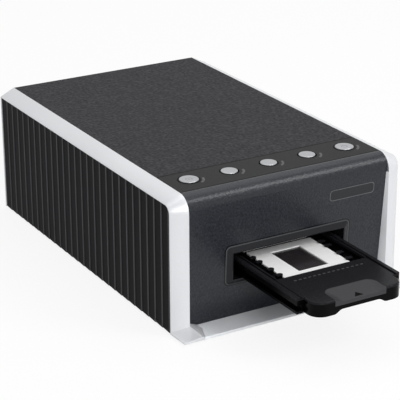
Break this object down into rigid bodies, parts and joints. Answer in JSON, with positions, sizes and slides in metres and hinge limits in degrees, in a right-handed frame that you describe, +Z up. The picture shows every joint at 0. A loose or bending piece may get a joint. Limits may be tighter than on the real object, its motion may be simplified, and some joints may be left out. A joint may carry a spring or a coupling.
{
  "type": "film negative scanner",
  "caption": "Desktop film and slide scanner: low black case between silver side frames, buttons on top, geared slide holder in a front slot.",
  "frame": {"origin": "middle of the footprint, slide holder included, on the surface that the feet stand on", "axes": "+X to the right seen from the front, +Y from the front to the back, +Z up"},
  "size_m": [0.175, 0.342, 0.0949],
  "materials": {
    "silver": "satin silver paint on moulded plastic",
    "side_black": "fine matt moulded black with ribs",
    "grained_black": "leather-like moulded grain",
    "satin_black": "satin black",
    "front_black": "fine-textured black",
    "bezel_black": "satin black",
    "button_metal": "brushed",
    "ring_clear": "satin silver ring",
    "base_black": "plain matt",
    "foot_rubber": "matt",
    "screw_steel": "zinc plated",
    "holder_black": "semi-gloss moulded",
    "mount_white": "white slide mount",
    "film": "developed film",
    "gear_white": "natural acetal",
    "shaft_steel": "ground",
    "sheet_steel": "zinc-plated sheet",
    "motor_steel": "black laminated stack and end caps",
    "bronze": "sintered",
    "board_green": "solder mask",
    "chip_black": "moulded packages",
    "switch_black": "switch bodies",
    "socket_metal": "plated shell",
    "jack_black": "moulded",
    "guide_grey": "filled acetal",
    "bench_black": "black anodised casting",
    "mirror": "front-silvered",
    "lens_black": "black anodised",
    "lens_glass": "coated",
    "lamp_grey": "moulded",
    "diffuser_white": "opal"
  },
  "bodies": {
    "case": {"badge_plate": "bezel_black", "base_pan": "base_black", "board_chips": "chip_black", "button_board": "board_green", "button_strip": "satin_black", "button_switches": "switch_black", "feed_motor": "motor_steel", "flap_pin": "shaft_steel", "fold_mirror": "mirror", "frame_screws": "screw_steel", "front_panel": "front_black", "front_sill": "silver", "guide_rail_left": "guide_grey", "guide_rail_right": "guide_grey", "idler_pin": "shaft_steel", "image_sensor": "chip_black", "lamp_board": "board_green", "lamp_diffuser": "diffuser_white", "lamp_housing": "lamp_grey", "left_frame": "silver", "left_side_panel": "side_black", "lens_barrel": "lens_black", "lens_glasses": "lens_glass", "main_board": "board_green", "motor_bracket": "sheet_steel", "optical_bench": "bench_black", "power_board": "board_green", "power_jack": "jack_black", "rear_panel": "base_black", "rear_screws": "screw_steel", "right_frame": "silver", "right_side_panel": "side_black", "ring_light_left": "ring_clear", "ring_light_right": "ring_clear", "rubber_feet": "foot_rubber", "sensor_board": "board_green", "shaft_bushes": "bronze", "slot_bezel": "bezel_black", "top_cover": "grained_black", "usb_port": "socket_metal"},
    "holder": {"film_holder": "holder_black", "slide_catches": "holder_black", "slide_mounts": "mount_white", "slide_films": "film"},
    "drive": {"drive_shaft": "shaft_steel", "drive_pinion_left": "gear_white", "drive_pinion_right": "gear_white", "driven_gear": "gear_white"},
    "idler": {"idler_gear": "gear_white"},
    "motor_rotor": {"motor_pinion": "bronze", "motor_shaft": "shaft_steel"},
    "flap": {"dust_flap": "base_black"},
    "scan_button": {"scan_button": "button_metal"},
    "button_2": {"button_2": "button_metal"},
    "button_3": {"button_3": "button_metal"},
    "button_4": {"button_4": "button_metal"},
    "power_button": {"power_button": "button_metal"}
  },
  "joints": [
    {"name": "holder_slide", "type": "slide", "parent": "case", "child": "holder", "axis": [0, 1, 0], "range_m": [-0.122, 0.0765]},
    {"name": "drive_spin", "type": "hinge", "parent": "case", "child": "drive", "pos_m": [0, -0.037, 0.02465], "axis": [1, 0, 0], "continuous": true},
    {"name": "idler_spin", "type": "hinge", "parent": "case", "child": "idler", "pos_m": [0, -0.004, 0.02465], "axis": [1, 0, 0], "continuous": true},
    {"name": "motor_spin", "type": "hinge", "parent": "case", "child": "motor_rotor", "pos_m": [0, 0.017, 0.02465], "axis": [1, 0, 0], "continuous": true},
    {"name": "flap_hinge", "type": "hinge", "parent": "case", "child": "flap", "pos_m": [0, -0.0758, 0.053], "axis": [1, 0, 0], "range_deg": [0, 14]},
    {"name": "scan_button_press", "type": "slide", "parent": "case", "child": "scan_button", "axis": [0, 0, -1], "range_m": [0, 0.0008], "stiffness_N_per_m": 800, "springref_m": -0.0005},
    {"name": "button_2_press", "type": "slide", "parent": "case", "child": "button_2", "axis": [0, 0, -1], "range_m": [0, 0.0008], "stiffness_N_per_m": 800, "springref_m": -0.0005},
    {"name": "button_3_press", "type": "slide", "parent": "case", "child": "button_3", "axis": [0, 0, -1], "range_m": [0, 0.0008], "stiffness_N_per_m": 800, "springref_m": -0.0005},
    {"name": "button_4_press", "type": "slide", "parent": "case", "child": "button_4", "axis": [0, 0, -1], "range_m": [0, 0.0008], "stiffness_N_per_m": 800, "springref_m": -0.0005},
    {"name": "power_button_press", "type": "slide", "parent": "case", "child": "power_button", "axis": [0, 0, -1], "range_m": [0, 0.0008], "stiffness_N_per_m": 800, "springref_m": -0.0005}
  ],
  "couplings": [
    {"joint": "drive_spin", "follows": "holder_slide", "rad_per_m": -125},
    {"joint": "idler_spin", "follows": "holder_slide", "rad_per_m": 150},
    {"joint": "motor_spin", "follows": "holder_slide", "rad_per_m": -375}
  ]
}
